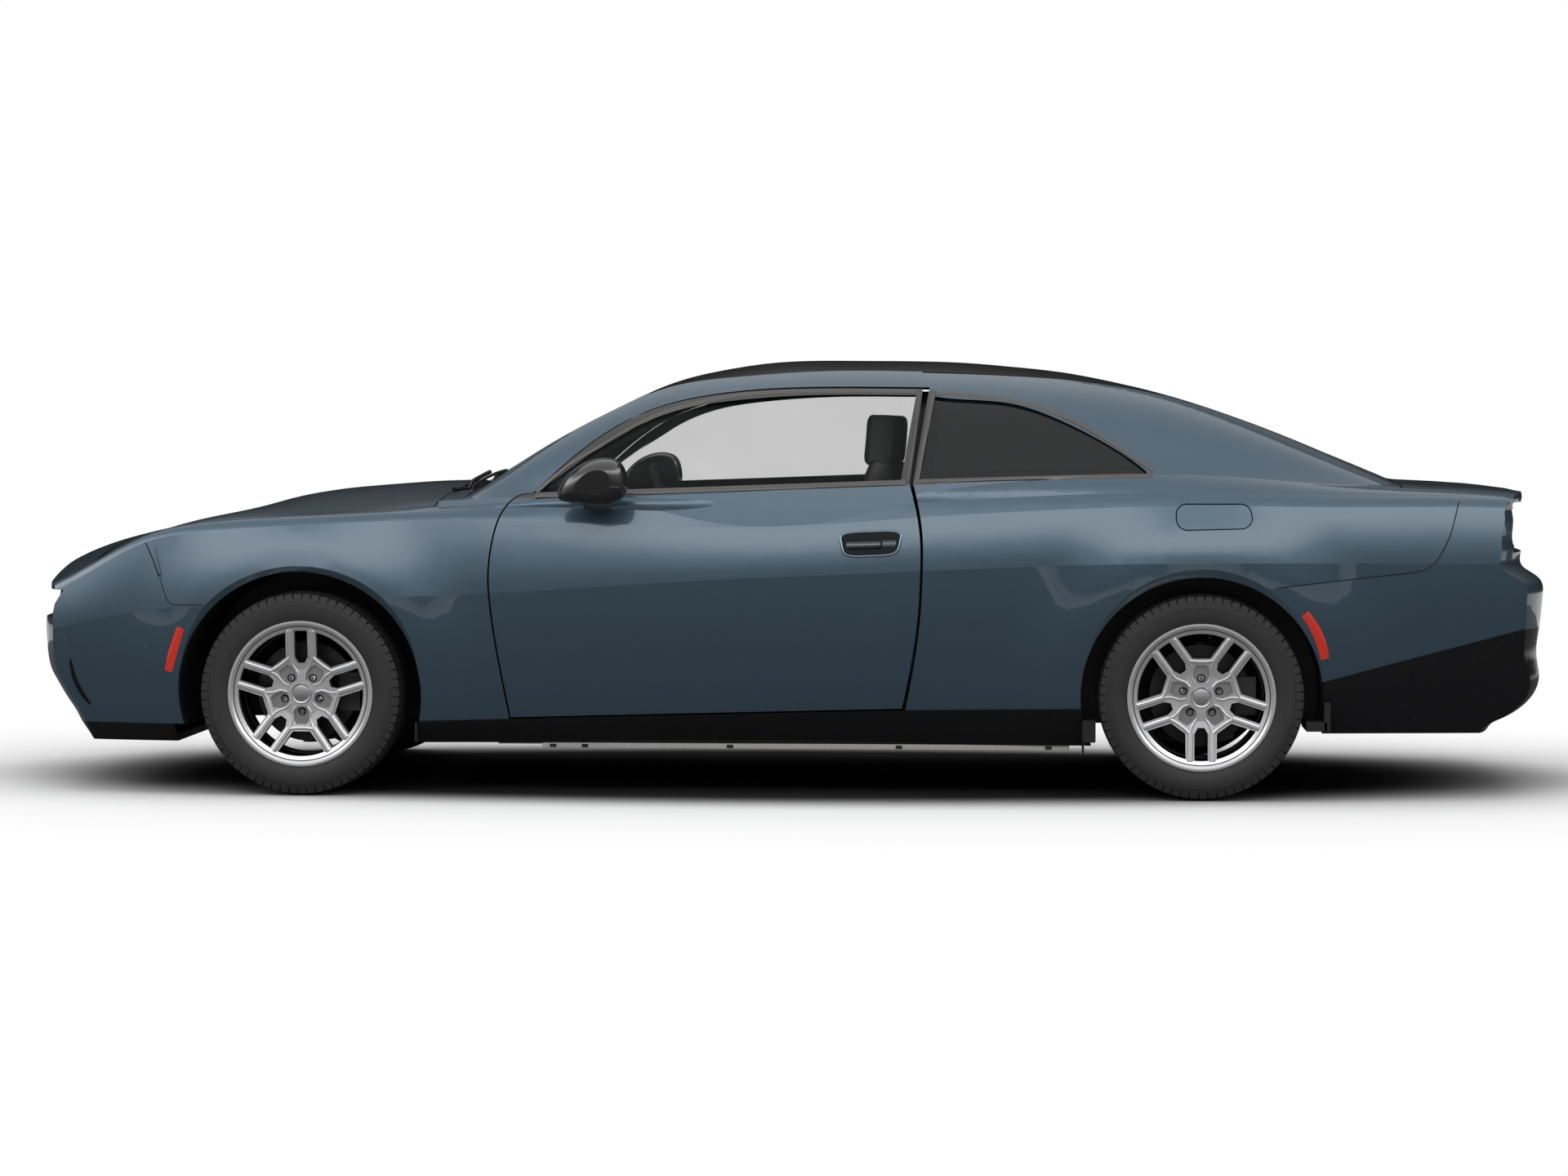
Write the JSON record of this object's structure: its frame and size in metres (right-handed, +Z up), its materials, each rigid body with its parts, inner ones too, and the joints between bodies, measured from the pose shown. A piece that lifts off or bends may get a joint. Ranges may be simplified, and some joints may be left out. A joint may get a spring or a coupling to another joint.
{
  "type": "coupe car",
  "caption": "Electric fastback coupe with opening doors, hood and rear hatch, steered front wheels and a charge flap.",
  "frame": {"origin": "centre of the footprint, on the floor under the tyres", "axes": "-X forward, +X to the rear, +Y to the car's right side, +Z up"},
  "size_m": [5.2459, 2.2, 1.5006],
  "materials": {
    "paint": "satin metallic blue-grey",
    "black_trim": "fine-grained black",
    "gloss_black": "gloss black",
    "dark_glass": "tinted",
    "lamp_red": "dark red lens",
    "lamp_front": "smoked lens",
    "alloy": "machined",
    "tyre": "rubber",
    "steel": "dark coated",
    "aluminium": "cast",
    "floor_metal": "underbody coating",
    "seat": "dark grained",
    "cabin_trim": "soft touch"
  },
  "bodies": {
    "root": {"front_fenders": "paint", "front_bumper": "paint", "nose_bridge": "gloss_black", "front_light_bar": "lamp_front", "lower_grille": "black_trim", "front_splitter": "black_trim", "sills": "black_trim", "body_sides": "paint", "quarter_glasses": "dark_glass", "roof_panel": "gloss_black", "windscreen": "dark_glass", "rear_bumper": "paint", "tail_lamp": "lamp_red", "rear_diffuser": "black_trim", "floor_pan": "floor_metal", "battery_pack": "aluminium", "drive_units": "aluminium", "front_compartment": "black_trim", "cowl": "black_trim", "arch_liners": "black_trim", "dashboard": "cabin_trim", "steering_wheel": "cabin_trim", "centre_console": "cabin_trim", "front_seats": "seat", "rear_seat": "seat", "front_subframe": "steel", "rear_subframe": "steel"},
    "hood": {"hood": "paint"},
    "hatch": {"hatch_panel": "paint", "hatch_glass": "dark_glass"},
    "door_left": {"door_left": "paint", "door_glass_left": "dark_glass", "mirror_left": "gloss_black"},
    "door_right": {"door_right": "paint", "door_glass_right": "dark_glass", "mirror_right": "gloss_black"},
    "charge_flap": {"charge_flap": "paint"},
    "knuckle_left": {"knuckle_left": "steel"},
    "knuckle_right": {"knuckle_right": "steel"},
    "wheel_front_left": {"tyre_front_left": "tyre", "rim_front_left": "alloy"},
    "wheel_front_right": {"tyre_front_right": "tyre", "rim_front_right": "alloy"},
    "wheel_rear_left": {"tyre_rear_left": "tyre", "rim_rear_left": "alloy"},
    "wheel_rear_right": {"tyre_rear_right": "tyre", "rim_rear_right": "alloy"}
  },
  "joints": [
    {"name": "hood_lift", "type": "hinge", "parent": "root", "child": "hood", "pos_m": [-1.156, 0, 1.075], "axis": [0, 1, 0], "range_deg": [0, 55]},
    {"name": "hatch_lift", "type": "hinge", "parent": "root", "child": "hatch", "pos_m": [1.308, 0, 1.388], "axis": [0, -1, 0], "range_deg": [0, 60]},
    {"name": "door_left_swing", "type": "hinge", "parent": "root", "child": "door_left", "pos_m": [-0.983, -0.958, 0.7], "axis": [0, 0, -1], "range_deg": [0, 68]},
    {"name": "door_right_swing", "type": "hinge", "parent": "root", "child": "door_right", "pos_m": [-0.983, 0.958, 0.7], "axis": [0, 0, 1], "range_deg": [0, 68]},
    {"name": "charge_flap_swing", "type": "hinge", "parent": "root", "child": "charge_flap", "pos_m": [1.338, -0.988, 0.96], "axis": [0, 0, -1], "range_deg": [0, 80]},
    {"name": "steer_left", "type": "hinge", "parent": "root", "child": "knuckle_left", "pos_m": [-1.648, -0.745, 0.35], "axis": [0, 0, 1], "range_deg": [-35, 35]},
    {"name": "steer_right", "type": "hinge", "parent": "root", "child": "knuckle_right", "pos_m": [-1.648, 0.745, 0.35], "axis": [0, 0, 1], "range_deg": [-35, 35]},
    {"name": "wheel_front_left_spin", "type": "hinge", "parent": "knuckle_left", "child": "wheel_front_left", "pos_m": [-1.648, -0.825, 0.35], "axis": [0, 1, 0], "continuous": true},
    {"name": "wheel_front_right_spin", "type": "hinge", "parent": "knuckle_right", "child": "wheel_front_right", "pos_m": [-1.648, 0.825, 0.35], "axis": [0, 1, 0], "continuous": true},
    {"name": "wheel_rear_left_spin", "type": "hinge", "parent": "root", "child": "wheel_rear_left", "pos_m": [1.426, -0.825, 0.35], "axis": [0, 1, 0], "continuous": true},
    {"name": "wheel_rear_right_spin", "type": "hinge", "parent": "root", "child": "wheel_rear_right", "pos_m": [1.426, 0.825, 0.35], "axis": [0, 1, 0], "continuous": true}
  ],
  "couplings": [
    {"joint": "steer_right", "follows": "steer_left", "ratio": 1}
  ]
}
